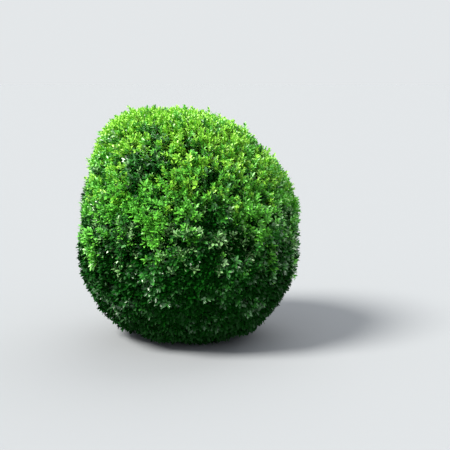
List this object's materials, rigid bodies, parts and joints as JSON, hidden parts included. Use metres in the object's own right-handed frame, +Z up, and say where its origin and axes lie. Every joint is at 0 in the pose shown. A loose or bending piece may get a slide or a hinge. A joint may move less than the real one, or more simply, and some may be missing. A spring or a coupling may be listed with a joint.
{
  "type": "box topiary ball",
  "caption": "Garden box shrub clipped to a full rounded ball with a flattened top, rooted in the ground on a short stem, for borders and patios.",
  "frame": {"origin": "middle of the flat cut under the trunk, at ground level", "axes": "+Z straight up out of the ground; +X to the right and +Y away from the viewer, seen from the front"},
  "size_m": [0.6157, 0.6187, 0.67],
  "materials": {
    "bark": "rough grey-brown bark",
    "leaves": "small glossy evergreen leaves"
  },
  "bodies": {
    "root": {"trunk": "bark", "bough_1": "bark", "bough_2": "bark", "bough_3": "bark", "bough_4": "bark", "bough_5": "bark", "bough_6": "bark", "bough_7": "bark", "foliage": "leaves"}
  },
  "joints": []
}
